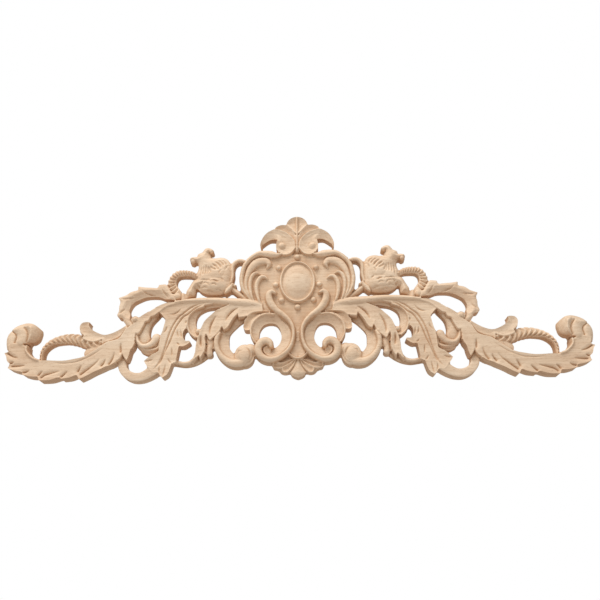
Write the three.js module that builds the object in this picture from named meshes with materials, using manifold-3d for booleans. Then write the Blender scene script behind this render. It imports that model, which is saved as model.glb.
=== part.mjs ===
// Carved wood applique: one pierced relief of scrolls and leaves, alike on both sides of its middle.
// Millimetres. X runs along the length, Z is up, the carved face looks along -Y.
// The flat back lies on y = 0, with the origin behind the middle of the oval boss.
import * as THREE from "three";
import { mergeVertices } from "three/addons/utils/BufferGeometryUtils.js";
import Module from "manifold-3d";

// Driving dimensions: where the ornament ends, and the oval boss in the middle of it
const HALF_LENGTH = 300;
const CREST_TOP = 76;
const SHELL_BOTTOM = -104;
const BOSS = { halfWidth: 16.2, halfHeight: 21.3, ring: 3 };
const BEAD_RADIUS = 3.1;
const TIP = 0.4;

// Heights above the back: the edge where a form's wall ends, and the line along its middle
const FIELD_HEIGHT = 11;
const RIM = { edge: 13, crest: 17 };
const ROLL = { edge: 12, crest: 17 };
const FINGER = { edge: 12, crest: 16 };
const BEAD = { edge: 12, crest: 16 };
const LEAF = { edge: 13, crest: 15.5 };
const LOBE = { edge: 12, crest: 14 };
const STEM = { edge: 12.5, crest: 15.5 };
const COVE = { edge: 12.5, crest: 8.5 };
const SCROLL_RIM = { edge: 11, crest: 15 };
const BALL = { edge: 11, crest: 17.5 };
const END_BALL = { edge: 13, crest: 20 };
const BUD = { edge: 9, crest: 17 };
const PETAL = { edge: 10, crest: 14 };
const RING = { edge: 10.5, crest: 11.5 };
const LOW = { edge: 6.5, crest: 8 };
const ROPE = { edge: 7, crest: 11 };

// Fineness of the facets: small round forms are cones of few sides, large ones have a shoulder
const SMALL_SIDES = 6;
const LARGE_SIDES = 8;
const BOSS_SIDES = 14;
const SHOULDER = { reach: 0.65, rise: 0.7 };

// Turns a closed surface the right way round, so that its faces point out
function outward(geometry) {
  const place = geometry.getAttribute("position");
  const index = geometry.getIndex();
  const corner = [0, 1, 2].map(() => new THREE.Vector3());
  let volume = 0;
  for (let i = 0; i < index.count; i += 3) {
    corner.forEach((point, k) => point.fromBufferAttribute(place, index.getX(i + k)));
    volume += corner[0].dot(corner[1].cross(corner[2]));
  }
  if (volume < 0) {
    for (let i = 0; i < index.count; i += 3) {
      const first = index.getX(i);
      index.setX(i, index.getX(i + 1));
      index.setX(i + 1, first);
    }
  }
  return geometry;
}

function closedSurface(points, triangles) {
  const geometry = new THREE.BufferGeometry();
  geometry.setAttribute("position", new THREE.Float32BufferAttribute(points, 3));
  geometry.setIndex(triangles);
  return outward(geometry);
}

// Stations along a smooth line: each given one is [distance from the middle, height, half width]
function stations(given) {
  const places = given.map(([u, z]) => new THREE.Vector3(u, 0, z));
  const line = new THREE.CatmullRomCurve3(places, false, "centripetal");
  return given.map(([u, z, half], i) => {
    const along = line.getTangent(i / (given.length - 1));
    return { u, z, half, across: [-along.z, along.x] };
  });
}

// A form that follows a line, with upright walls, a flat back, and a face that rises or sinks to its middle
function sweep(given, height) {
  const found = stations(given);
  const section = [[-1, 0], [-1, height.edge], [0, height.crest], [1, height.edge], [1, 0]];
  const ring = section.length;
  const points = [];
  for (const { u, z, half, across } of found) {
    for (const [side, tall] of section) {
      points.push(u + across[0] * side * half, -tall, z + across[1] * side * half);
    }
  }
  const triangles = [];
  for (let i = 0; i + 1 < found.length; i++) {
    for (let k = 0; k < ring; k++) {
      const a = i * ring + k;
      const b = i * ring + ((k + 1) % ring);
      triangles.push(a, b, a + ring, b, b + ring, a + ring);
    }
  }
  const end = (found.length - 1) * ring;
  for (let k = 1; k + 1 < ring; k++) {
    triangles.push(0, k + 1, k, end, end + k, end + k + 1);
  }
  return closedSurface(points, triangles);
}

// A round or oval form with an upright wall and a domed or dished face
function dome(u, z, halfWidth, halfHeight, height, sides = SMALL_SIDES) {
  const points = [u, 0, z, u, -height.crest, z];
  const rings = [[1, 0], [1, height.edge]];
  if (sides > SMALL_SIDES) {
    rings.push([SHOULDER.reach, height.edge + (height.crest - height.edge) * SHOULDER.rise]);
  }
  for (const [reach, tall] of rings) {
    for (let i = 0; i < sides; i++) {
      const angle = (2 * Math.PI * i) / sides;
      points.push(u + reach * halfWidth * Math.cos(angle), -tall, z + reach * halfHeight * Math.sin(angle));
    }
  }
  const at = (ring, i) => 2 + ring * sides + (i % sides);
  const top = rings.length - 1;
  const triangles = [];
  for (let i = 0; i < sides; i++) {
    triangles.push(0, at(0, i + 1), at(0, i), 1, at(top, i), at(top, i + 1));
    for (let ring = 0; ring < top; ring++) {
      triangles.push(at(ring, i), at(ring, i + 1), at(ring + 1, i));
      triangles.push(at(ring, i + 1), at(ring + 1, i + 1), at(ring + 1, i));
    }
  }
  return closedSurface(points, triangles);
}

// A pointed lobe: it starts with a half width, swells and ends in a tip
function lobe(root, belly, tip, height = LOBE) {
  return sweep([root, belly, [...tip, TIP]], height);
}

// A lobe with a round end
function petal(given, height) {
  const [u, z, half] = given[given.length - 1];
  return [sweep(given, height), dome(u, z, half, half, height)];
}

// A flat plate, from the right half of its outline
function plate(outline, height) {
  const left = outline.map(([u, z]) => [-u, z]).reverse();
  const shape = new THREE.Shape([...outline, ...left].map(([u, z]) => new THREE.Vector2(u, z)));
  return new THREE.ExtrudeGeometry(shape, { depth: height, bevelEnabled: false }).rotateX(Math.PI / 2);
}

// The cartouche: field, oval boss in its ring, and the top and bottom beads
function cartoucheMiddle() {
  const { halfWidth, halfHeight, ring } = BOSS;
  const field = [
    [1, 33], [38, 33], [50, 27], [57, 16], [59, 4], [57, -8], [50, -19], [25, -34], [12, -42], [4, -52],
    [1, -66],
  ];
  return [
    plate(field, FIELD_HEIGHT),
    dome(0, 0, halfWidth + ring, halfHeight + ring, { edge: 13, crest: 15 }, BOSS_SIDES),
    dome(0, 0, halfWidth, halfHeight, { edge: 14, crest: 18.5 }, BOSS_SIDES),
    dome(0, 29, BEAD_RADIUS, BEAD_RADIUS, BEAD),
    dome(0, -28, BEAD_RADIUS, BEAD_RADIUS, BEAD),
  ];
}

// Beads, finger gadroons and the rolled rim on one side of the boss
function cartoucheSide() {
  const beads = [[20.5, 17], [23.5, -2.5], [17.3, -20.5]];
  return [
    ...beads.map(([u, z]) => dome(u, z, BEAD_RADIUS, BEAD_RADIUS, BEAD)),
    sweep([[17, 31.5, 1], [28, 33, 3.6], [41, 32.5, 3.4], [54, 23, 2.4], [59.3, 3, 2.3],
      [48, -21.5, 1]], RIM),
    sweep([[33, 17.5, 2.5], [31.5, 24, 3.6], [42, 25, 4.1], [54, 10.5, 3], [55.5, -6, 2.2],
      [49, -19, 1.2]], FINGER),
    sweep([[41.5, 9.5, 0.8], [46.5, 9, 2], [49.8, 0, 2.4], [43.5, -21.5, 1]], FINGER),
    sweep([[34, 4.5, 1.5], [39, 4.5, 2.2], [42.6, -4, 2.5], [38.5, -24, 1]], FINGER),
  ];
}

// The S-scroll that runs from beside the boss down to its volute, with the hollow leaf that springs over it
function innerScroll() {
  return [
    sweep([[24, -13, 2], [28.8, -12.5, 3.4], [30, -19, 4], [21.6, -32.4, 3.4], [8.6, -44.3, 2.6],
      [4.4, -58, 2.2], [9, -74.5, 2.5], [16, -81.4, 2.9], [25, -85.3, 3.3], [35, -83.4, 3.8],
      [40.4, -74.5, 4], [37, -67, 4.1], [31, -66, 4], [28, -70, 3]], ROLL),
    dome(35, -74, 6, 6, { edge: 13, crest: 14.5 }),
    sweep([[33, -76.3, 2], [22, -77.2, 5], [13, -70, 6.2], [11, -57, 6.2], [18.5, -42.8, 5.6], [33, -41, 5],
      [43.6, -51, 4.8], [43, -64, 3]], COVE),
    sweep([[28, -34, 1.4], [39, -34.2, 2.3], [47, -39, 3.3], [52.4, -50, 3.8]],
      { edge: 13.5, crest: 10.5 }),
    lobe([38, -28.5, 4], [50, -31, 4.6], [61.3, -39.5]),
  ];
}

// The main arm, which leaves the cartouche and turns down into the wing leaf
function arm() {
  return [
    sweep([[40, -24, 4], [60, -22.5, 4.5], [98, -19.7, 3.4], [127, -22, 3], [149, -31, 3.4],
      [164, -44, 4]], STEM),
  ];
}

// The long leaf of the wing, with its row of lobes along the lower edge
function wingLeaf() {
  const body = [
    [162, -41, 4], [179, -61, 8.5], [200, -78.5, 9], [221, -88, 8.2], [243, -92, 8], [264, -90.5, 8],
    [281, -82.5, 8.6], [289, -66, 10],
  ];
  const lobes = [
    [[174, -56, 5], [175.2, -70, 5.8], [175.8, -83]],
    [[184, -66, 3.5], [185, -78, 3.6], [191.7, -89.8]],
    [[190, -72, 4], [193, -81, 4.2], [199.2, -93.4]],
    [[196, -78, 6], [206, -90, 7], [220.3, -104]],
    [[218, -88, 5], [228, -96, 5], [238.5, -103.2]],
    [[236, -91, 6], [248, -99, 5.8], [260.8, -104.6]],
    [[258, -92, 5], [268, -97, 4.5], [278.5, -98.2]],
    [[272, -88, 6], [284, -93, 5], [295.2, -91]],
    [[285, -82, 6], [293, -80.5, 5], [HALF_LENGTH, -75]],
  ];
  return [sweep(body, LEAF), ...lobes.map(([root, belly, tip]) => lobe(root, belly, tip))];
}

// The rolled scroll that ends the wing, its ball, and the rope that loops back to the arm
function wingEnd() {
  return [
    dome(286, -58, 14.6, 15.4, { edge: 12, crest: 15 }, LARGE_SIDES),
    dome(277, -53, 9.4, 11.2, END_BALL, LARGE_SIDES),
    sweep([[288, -66, 5], [286.5, -56, 5], [288.5, -49, 4]], { edge: 14, crest: 18 }),
    sweep([[279, -68, 1.5], [276.5, -77, 1.6], [266, -84, 1.6]], { edge: 13, crest: 15.5 }),
    sweep([[202, -66, 4], [217, -63.2, 5.2], [237, -58.2, 5.4], [256, -64.2, 4], [263.6, -74, 2.9],
      [264, -86, 2.3]], ROPE),
  ];
}

// The leaves that curl off the arm above the wing: the toothed one, its small curl, and the hollow one
function upperLeaves() {
  const teeth = [
    [[138, -9, 4], [142, -5.4, 3.4], [147, -1]],
    [[154, -10, 4], [163, -6.5, 3.5], [169.8, -2.8]],
    [[170, -14, 5], [180, -14, 3.5], [189.2, -15.5]],
    [[180, -26, 4], [186, -31, 3], [189, -36]],
  ];
  return [
    sweep([[122, -17, 4], [140, -9.8, 5.6], [163, -9.8, 6], [181, -25, 5.4], [177, -43.5, 3]],
      { edge: 11.5, crest: 13.5 }),
    ...teeth.map(([root, belly, tip]) => lobe(root, belly, tip)),
    sweep([[176, -42, 2.5], [172, -46, 1.8], [167, -43.5, 1.6], [168, -38.2, 1.4]],
      { edge: 12.5, crest: 14.5 }),
    dome(170, -40, 3.6, 3.6, { edge: 12, crest: 16 }),
    sweep([[174, -46.5, 2], [186, -56, 4.3], [203, -59.4, 4.6], [217.5, -54.5, 5], [221.5, -44.5, 4.6]],
      { edge: 13, crest: 11 }),
  ];
}

// The C-scroll under the arm's turn and the low ring that joins the middle leaf to the wing
function middleScroll() {
  return [
    sweep([[143, -30, 3], [151.2, -37.2, 3.4], [158.4, -49, 5], [157.5, -62.4, 6.6]], COVE),
    sweep([[166.2, -56, 2.4], [164, -67, 2.3], [154, -72.5, 2.5], [146, -68.5, 2.5]], SCROLL_RIM),
    dome(146.6, -61, 5, 5, SCROLL_RIM),
    sweep([[144.5, -71.4, 2], [150, -75, 2.2], [157, -75.5, 2]], LOW),
    sweep([[180.3, -79, 4.2], [177.7, -93, 4.2], [163, -101.4, 4.4], [143, -92, 5]], RING),
  ];
}

// The middle leaf, with the small hollow scroll that rolls up beside it
function middleLeaf() {
  const lobes = [
    [[122, -31, 4], [134, -30.5, 4.2], [143.8, -33.8]],
    [[141, -84, 5], [149, -86, 4], [157.3, -86.2]],
    [[123, -48, 4.5], [121.5, -60, 4], [113.8, -66.5]],
    [[129, -62, 4.5], [127.5, -76, 3.6], [126.3, -88]],
    [[134, -80, 4], [133.8, -92, 4.5], [136.8, -103]],
  ];
  return [
    sweep([[84, -20.5, 2.5], [106, -25, 5.2], [121, -35, 8.5], [131, -53, 8.7], [139, -81, 8.2],
      [148, -97, 3]], LEAF),
    ...lobes.map(([root, belly, tip]) => lobe(root, belly, tip)),
    sweep([[70, -25, 1.8], [92, -25.4, 2.6], [107.5, -34, 3.4], [110.4, -45, 4.4], [103.5, -57.5, 3.2]],
      COVE),
    dome(103, -53.5, 2.6, 2.6, { edge: 11, crest: 14 }),
  ];
}

// The inner leaf, the thin ring from its tip to the middle leaf, and the low work behind both
function innerLeaf() {
  const lobes = [
    [[66, -30, 4.5], [71, -40, 4.6], [78.6, -53]],
    [[80, -36, 5], [86.5, -50, 5.2], [91.5, -63]],
    [[97, -56, 3], [97.8, -70, 2.6], [99.3, -83]],
  ];
  return [
    sweep([[60, -25, 4], [75, -29, 6], [90, -41.5, 6.6], [99.5, -58, 4.5], [103, -80, 2.5]], LEAF),
    ...lobes.map(([root, belly, tip]) => lobe(root, belly, tip)),
    sweep([[102, -60, 1.6], [103, -76, 1.7], [112, -87, 2], [126, -83, 1.8]], { edge: 10, crest: 12 }),
    sweep([[91, -79, 2.5], [110, -86, 2.5], [134, -87.5, 2]], LOW),
    sweep([[91, -60, 4], [90.5, -79, 3.2]], LOW),
  ];
}

// The large C-scroll below the inner leaf, with its ball
function lowerScroll() {
  return [
    sweep([[57, -38.8, 2.6], [68, -46.5, 4], [77, -63, 6], [74.5, -76.5, 6.2], [62, -83, 4]], COVE),
    sweep([[82, -56, 2.6], [83.4, -67, 2.7], [75.5, -83.5, 3.3], [60, -88.2, 4.5], [50, -83, 4.2]],
      SCROLL_RIM),
    dome(54, -77.6, 10.6, 9, BALL, LARGE_SIDES),
  ];
}

// The palmette on top: the middle rib, then lobes, horn and bead on one side
function palmetteMiddle() {
  return [sweep([[0, 31, 7], [0, 45, 4], [0, CREST_TOP - 2, 1]], { edge: 12, crest: 16 })];
}

function palmetteSide() {
  return [
    ...petal([[0.5, 54, 2], [5, CREST_TOP - 6.5, 6.5]], { edge: 13, crest: 11.5 }),
    ...petal([[4, 48, 3], [11, 58.5, 4.5], [18, 62, 5]], LOBE),
    sweep([[12.5, 33, 7.5], [12, 43, 9.5], [17, 51.5, 8.2], [27, 56, 6], [35, 51.5, 4], [38, 43.5, 0.8]],
      LOBE),
    dome(18.3, 42, 3.8, 3.8, BEAD),
  ];
}

// The shell at the foot: tongue and middle flute, then the flutes on one side
function shellMiddle() {
  return [
    dome(0, -82, 15, 9, { edge: 10, crest: 11 }, LARGE_SIDES),
    sweep([[0, -60, 2.5], [0, -84, 6.5]], { edge: 11, crest: 13.5 }),
    ...petal([[0, -85, 3], [0, SHELL_BOTTOM + 9.5, 9.5]], { edge: 11, crest: 14 }),
  ];
}

function shellSide() {
  return [
    ...petal([[4.5, -85, 2], [9.5, -91, 3.5], [14.2, -94.2, 4.2]], { edge: 10, crest: 13 }),
    ...petal([[8, -84, 2], [15, -87.8, 2.8], [24, -89.4, 3.6]], { edge: 9.5, crest: 12.5 }),
  ];
}

// The bud above the arm, its stem, arch and petals, and the small rope beyond it
function bud() {
  return [
    sweep([[56, 25, 2.4], [64.2, 26.2, 2.4], [69.6, 16, 2.2], [70.4, 1, 1.6]], { edge: 9, crest: 12 }),
    dome(85.5, 12, 15.8, 19, BUD, LARGE_SIDES),
    sweep([[73, 3.5, 8], [87, -0.5, 9.2], [107, 0.5, 6]], { edge: 8.5, crest: 15 }),
    sweep([[83, 16, 9], [93, 27, 7], [98, 38.5, 4.6]], PETAL),
    sweep([[99, 8, 6], [103, 22, 5.2], [112.5, 29.4, 3]], PETAL),
    dome(94, 38.6, 3.4, 3.4, PETAL),
    dome(112.6, 28, 3.4, 4, PETAL),
    sweep([[107, 0.5, 5.6], [113, -5, 4.8], [112.8, -18, 3.8]], { edge: 8, crest: 11 }),
    sweep([[68.9, -1.5, 1.6], [71.6, -6, 2.4], [75.7, -10.6, 2]], { edge: 11, crest: 14 }),
    sweep([[70, -5, 3], [53.4, -18.3, 3]], { edge: 9, crest: 11 }),
    sweep([[107, 9, 2.8], [121, 14.8, 4.1], [131.4, 11, 4.6], [134.2, -1, 5], [127.2, -12, 4.6]], ROPE),
    dome(127.2, -13.8, 4.2, 4.2, { edge: 9, crest: 13 }),
  ];
}

const middleForms = [...cartoucheMiddle(), ...palmetteMiddle(), ...shellMiddle()];
const sideForms = [
  ...cartoucheSide(), ...innerScroll(), ...arm(), ...wingLeaf(), ...wingEnd(), ...upperLeaves(),
  ...middleScroll(), ...middleLeaf(), ...innerLeaf(), ...lowerScroll(), ...palmetteSide(), ...shellSide(),
  ...bud(),
];
const otherSideForms = sideForms.map((form) => outward(form.clone().scale(-1, 1, 1)));

const wasm = await Module();
wasm.setup();

function solid(geometry) {
  geometry.deleteAttribute("normal");
  geometry.deleteAttribute("uv");
  const merged = mergeVertices(geometry, 1e-4);
  return new wasm.Manifold(new wasm.Mesh({
    numProp: 3,
    vertProperties: new Float32Array(merged.getAttribute("position").array),
    triVerts: new Uint32Array(merged.getIndex().array),
  }));
}

// Joins neighbours first, so that the shapes grow evenly
function join(solids) {
  if (solids.length === 1) {
    return solids[0];
  }
  const half = Math.floor(solids.length / 2);
  return join(solids.slice(0, half)).add(join(solids.slice(half)));
}

function surface(joined) {
  const mesh = joined.getMesh();
  const geometry = new THREE.BufferGeometry();
  geometry.setAttribute("position", new THREE.BufferAttribute(mesh.vertProperties, 3));
  geometry.setIndex(new THREE.BufferAttribute(mesh.triVerts, 1));
  return geometry;
}

const wood = new THREE.MeshStandardMaterial({ color: 0xdcc0a0, roughness: 0.75, metalness: 0 });
const forms = [...sideForms, ...middleForms, ...otherSideForms];
const carving = new THREE.Mesh(surface(join(forms.map(solid))), wood);
carving.name = "carved_applique";

const applique = new THREE.Group();
applique.add(carving);

export default applique;
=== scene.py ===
import math

import bpy
import numpy as np
from mathutils import Matrix, Vector


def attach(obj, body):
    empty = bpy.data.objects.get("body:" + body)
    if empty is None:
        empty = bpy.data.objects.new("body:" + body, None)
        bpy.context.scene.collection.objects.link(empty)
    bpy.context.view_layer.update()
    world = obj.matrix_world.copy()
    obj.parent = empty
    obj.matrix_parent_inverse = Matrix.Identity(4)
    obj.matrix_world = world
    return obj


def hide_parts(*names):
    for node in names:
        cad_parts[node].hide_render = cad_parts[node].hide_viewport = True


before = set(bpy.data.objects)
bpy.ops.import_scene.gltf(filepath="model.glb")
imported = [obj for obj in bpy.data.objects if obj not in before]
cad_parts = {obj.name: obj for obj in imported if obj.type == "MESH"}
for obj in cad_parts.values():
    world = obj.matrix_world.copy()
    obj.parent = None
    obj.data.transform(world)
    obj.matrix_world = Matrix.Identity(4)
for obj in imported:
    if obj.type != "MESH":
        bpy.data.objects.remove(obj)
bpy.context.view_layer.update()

# The relief is worked out in millimetres on one half, u from the middle and z up, then mirrored.
# Heights are measured from the flat back. The finished mesh is in metres, with the face along -Y.
MM = 0.001

# Grid of the height field: spacing, extent, the height that means no wood, and room around a form
CELL = 0.45
U_END = 304.0
Z_LOW = -110.0
Z_HIGH = 80.0
EMPTY = -50.0
MARGIN = 4.0

# Fall of a form's height beyond its edge, in millimetres for each millimetre
DRAFT = 6.0

# Ends of a groove: how its depth fades, and its share of the full width where it runs out
FADE_POWER = 0.6
END_WIDTH = 0.4

# Rope ribs: where across they bend, how sharp they are, how they fade and notch, and their overrun
RIB_BEND_AT = 0.13
RIB_SHARPNESS = 1.2
RIB_FADE = 0.3
RIB_NOTCH = 0.1
RIB_OVERRUN = 1.2

# Smoothing of the finished field, in passes, and the cells kept from its border in sampling
SLIT_PASSES = 2
SMOOTH_PASSES = 1
HOLLOW_PASSES = 8
BORDER = 1.001

# The mesh: its size, the least slope of an outline, and the angle from which an edge is shaded as sharp
TRIANGLE_BUDGET = 190000
LEAST_SLOPE = 0.3
SHARP_ANGLE = math.radians(50)

# Painted shade: the depth of a full hollow, the y where the face begins, the tilt where a side cut is
# shaded
HOLLOW_DEPTH = 1.4
FACE_FROM = -1.0
WALL_SHADE_FROM = 0.5
WALL_SHADE_SPAN = 0.4

# Stand-ins: a distance that is always beaten, and a length that must not be zero
FAR = 1e9
TINY = 1e-6

# Heights of the carving above the back: (at the edge or floor, at the crest or rim)
FIELD = 10.4
RIM = (13.0, 15.4)
FINGER = (10.8, 14.6)
ROLL = (12.0, 16.6)
LEAF = (13.8, 12.9)
WING = (14.8, 14.1)
STEM = (12.6, 15.6)
COVE = (8.2, 12.4)
SCROLL_RIM = (11.4, 14.6)
RING = (10.6, 11.4)
ROPE = (6.2, 12.4)

# Sections across a form, from -1 at one side to 1 at the other: 0 is its low height, 1 its high one
PROFILES = {
    "round": lambda v: np.sqrt(1 - v * v),
    "soft": lambda v: 1 - v * v,
    "ridge": lambda v: (1 - np.abs(v)) ** 1.2,
    "cove": lambda v: v * v,
    "slope": lambda v: ((1 + v) / 2) ** 1.6,
    "flat": lambda v: 1 - v ** 6,
    "shoulder": lambda v: 1 - ((1 - v) / 2) ** 2,
}


def spline(stations, step=1.2):
    """A smooth line through stations, with half width and lift carried along evenly."""
    given = np.array([(*s, 0.0) if len(s) == 3 else s for s in stations], float)
    place = given[:, :2]
    before = np.vstack([2 * place[0] - place[1], place])
    after = np.vstack([place, 2 * place[-1] - place[-2]])
    found = []
    for i in range(len(place) - 1):
        p0, p1, p2, p3 = before[i], place[i], place[i + 1], after[i + 2]
        count = max(2, int(np.ceil(np.hypot(*(p2 - p1)) / step)))
        t = np.arange(count)[:, None] / count
        knots = [math.sqrt(max(np.hypot(*(q - p)), TINY)) for p, q in ((p0, p1), (p1, p2), (p2, p3))]
        m1 = p2 - p1 + knots[1] * ((p1 - p0) / knots[0] - (p2 - p0) / (knots[0] + knots[1]))
        m2 = p2 - p1 + knots[1] * ((p3 - p2) / knots[2] - (p3 - p1) / (knots[1] + knots[2]))
        square = 3 * (p2 - p1) - 2 * m1 - m2
        cube = 2 * (p1 - p2) + m1 + m2
        curve = p1 + t * m1 + t ** 2 * square + t ** 3 * cube
        found.append(np.hstack([curve, given[i, 2:] + t * (given[i + 1, 2:] - given[i, 2:])]))
    return np.vstack([*found, given[-1:]])


class Relief:
    """A height field with its outline: cover is above zero where there is wood."""

    def __init__(self):
        self.u = np.arange(0.0, U_END, CELL)
        self.z = np.arange(Z_LOW, Z_HIGH, CELL)
        shape = (len(self.z), len(self.u))
        self.height = np.full(shape, EMPTY)
        self.cover = np.full(shape, EMPTY)
        self.edge = np.full(shape, EMPTY)

    def window(self, low, high):
        """The slice of the grid inside a box, with the places of its points."""
        i0, i1 = np.searchsorted(self.u, (low[0], high[0]))
        k0, k1 = np.searchsorted(self.z, (low[1], high[1]))
        part = np.s_[k0:k1, i0:i1]
        return part, *np.meshgrid(self.u[i0:i1], self.z[k0:k1])

    def put(self, part, cover, flat, sink=False):
        """Joins a form to the field, or sinks the field to it; beyond its edge the form falls away."""
        height = flat - DRAFT * np.maximum(-cover, 0)
        if sink:
            inside = cover > 0
            for field in (self.height, self.edge):
                field[part] = np.where(inside, np.minimum(field[part], height), field[part])
            return
        self.height[part] = np.maximum(self.height[part], height)
        nearer = cover > self.cover[part]
        self.cover[part] = np.where(nearer, cover, self.cover[part])
        self.edge[part] = np.where(nearer, flat, self.edge[part])

    def sweep(self, kind, heights, stations, sink=False, ribs=None):
        """A form along a line of stations: (u, z, half width), and a lift where it rises or sinks."""
        part, far, across, half, lift, along, _ = self.trace(stations)
        side = np.clip(across / half, -1, 1)
        low, high = heights
        rise = PROFILES[kind](side)
        if ribs is not None:
            width, cut = ribs(along, side)
            half = half * width
            lift = lift + cut
        self.put(part, half - far, low + (high - low) * rise + lift, sink)

    def dome(self, u, z, half, heights, kind="round"):
        """A round or oval form, with its half widths along u and z."""
        half_u, half_z = half
        reach = max(half) + MARGIN
        part, gu, gz = self.window((u - reach, z - reach), (u + reach, z + reach))
        x = gu - u
        y = gz - z
        out = np.hypot(x / half_u, y / half_z)
        slope = np.hypot(x / half_u ** 2, y / half_z ** 2) / np.maximum(out, TINY)
        cover = (1 - out) / np.maximum(slope, TINY)
        low, high = heights
        self.put(part, cover, low + (high - low) * PROFILES[kind](np.clip(out, 0, 1)))

    def fill(self, corners):
        """Signed distance to an outline, above zero inside it."""
        part, gu, gz = self.window(corners.min(0) - MARGIN, corners.max(0) + MARGIN)
        nearest = np.full(gu.shape, FAR)
        inside = np.zeros(gu.shape, bool)
        for (au, az), (bu, bz) in zip(corners, np.roll(corners, -1, 0)):
            length = max((bu - au) ** 2 + (bz - az) ** 2, TINY)
            along = np.clip(((gu - au) * (bu - au) + (gz - az) * (bz - az)) / length, 0, 1)
            far = np.hypot(gu - au - along * (bu - au), gz - az - along * (bz - az))
            nearest = np.minimum(nearest, far)
            if az != bz:
                crosses = (az > gz) != (bz > gz)
                inside ^= crosses & (gu < au + (gz - az) * (bu - au) / (bz - az))
        return part, np.where(inside, nearest, -nearest)

    def plate(self, outline, height):
        """A flat ground inside an outline."""
        part, cover = self.fill(np.array(outline, float))
        self.put(part, cover, np.full(cover.shape, float(height)))

    def leaf(self, runs, heights, shoulder):
        """A leaf inside an outline of smooth runs, which meet at its tips and notches."""
        line = [spline([(u, z, 0) for u, z in run])[:, :2] for run in runs]
        part, cover = self.fill(np.vstack(line))
        low, high = heights
        inward = np.clip(cover / shoulder, 0, 1)
        self.put(part, cover, low + (high - low) * (1 - (1 - inward) ** 2))

    def groove(self, points, depth, half, taper=0.35, open_end=False):
        """A cut with a V section that runs out at both ends, or only at its start with an open end."""
        part, far, _, _, _, along, length = self.trace([(u, z, half) for u, z in points])
        along = along / length
        near_end = along if open_end else np.minimum(along, 1 - along)
        fade = np.clip(near_end / taper, 0, 1) ** FADE_POWER
        width = half * (END_WIDTH + (1 - END_WIDTH) * fade)
        self.height[part] -= depth * fade * np.clip(1 - far / width, 0, 1)

    def trace(self, stations):
        """Nearest place on a line: distance, offset, half width, lift and way along; also its length."""
        line = spline(stations)
        length = np.concatenate([[0], np.cumsum(np.hypot(*np.diff(line[:, :2], axis=0).T))])
        table = np.column_stack([line, length])
        reach = line[:, 2].max() + MARGIN
        part, gu, gz = self.window(line[:, :2].min(0) - reach, line[:, :2].max(0) + reach)
        best = np.full(gu.shape, FAR)
        across = np.zeros(gu.shape)
        values = np.zeros((table.shape[1] - 2, *gu.shape))
        values[0] = line[0, 2]
        for a, b in zip(table[:-1], table[1:]):
            i0, i1 = np.searchsorted(gu[0], (min(a[0], b[0]) - reach, max(a[0], b[0]) + reach))
            k0, k1 = np.searchsorted(gz[:, 0], (min(a[1], b[1]) - reach, max(a[1], b[1]) + reach))
            box = np.s_[k0:k1, i0:i1]
            du, dz = b[0] - a[0], b[1] - a[1]
            pu, pz = gu[box] - a[0], gz[box] - a[1]
            t = np.clip((pu * du + pz * dz) / (du * du + dz * dz), 0, 1)
            far = np.hypot(pu - t * du, pz - t * dz)
            closer = far < best[box]
            best[box] = np.where(closer, far, best[box])
            sign = np.sign(du * pz - dz * pu)
            across[box] = np.where(closer, far * sign, across[box])
            for row, (start, stop) in zip(values, zip(a[2:], b[2:])):
                row[box] = np.where(closer, start + t * (stop - start), row[box])
        half, lift, along = values
        return part, best, across, half, lift, along, length[-1]


def rope_ribs(pitch_start, pitch_end, length, bend, depth, plain):
    """Sharp crescent ribs with hollows between, which fade out toward the rope's plain inner side."""
    change = (pitch_end - pitch_start) / length

    def ribs(along, side):
        place = along + bend * (side - RIB_BEND_AT) ** 2
        place = np.clip(place, -pitch_start, length * RIB_OVERRUN)
        count = np.log1p(change * place / pitch_start) / change
        wave = np.abs(2 * (count - np.floor(count)) - 1) ** RIB_SHARPNESS
        reach = plain[0] + (plain[1] - plain[0]) * np.clip(along / length, 0, 1)
        shown = np.clip((side - reach) / RIB_FADE, 0, 1)
        return 1 - RIB_NOTCH * shown * (1 - wave), depth * shown * (wave - 1)

    return ribs


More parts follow.
